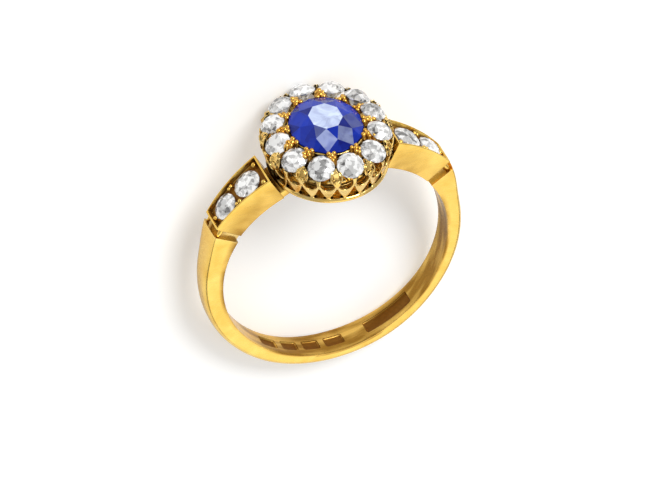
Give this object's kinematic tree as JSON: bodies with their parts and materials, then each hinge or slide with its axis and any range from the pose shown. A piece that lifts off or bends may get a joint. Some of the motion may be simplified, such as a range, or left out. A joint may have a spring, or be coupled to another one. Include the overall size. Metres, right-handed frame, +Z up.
{
  "type": "cluster ring",
  "caption": "Gold finger ring with an oval blue stone in a border of round clear stones on a pierced gallery, and stone-set shoulders.",
  "frame": {"origin": "on the surface that the ring lies on, under the middle of its bounding box", "axes": "+Z up from that surface; the head points along +Y and the shoulders are at +X and -X; the finger axis is 11.5 degrees off +Z, in the YZ plane"},
  "size_m": [0.0196, 0.022, 0.0101],
  "materials": {
    "gold": "polished, lightly worn 18 carat yellow gold",
    "sapphire": "polished facets, royal blue",
    "diamond": "polished facets, colourless"
  },
  "bodies": {
    "root": {"mount": "gold", "sapphire": "sapphire", "diamond_1": "diamond", "diamond_2": "diamond", "diamond_3": "diamond", "diamond_4": "diamond", "diamond_5": "diamond", "diamond_6": "diamond", "diamond_7": "diamond", "diamond_8": "diamond", "diamond_9": "diamond", "diamond_10": "diamond", "diamond_11": "diamond", "diamond_12": "diamond", "shoulder_diamond_right_upper": "diamond", "shoulder_diamond_right_lower": "diamond", "shoulder_diamond_left_upper": "diamond", "shoulder_diamond_left_lower": "diamond"}
  },
  "joints": []
}
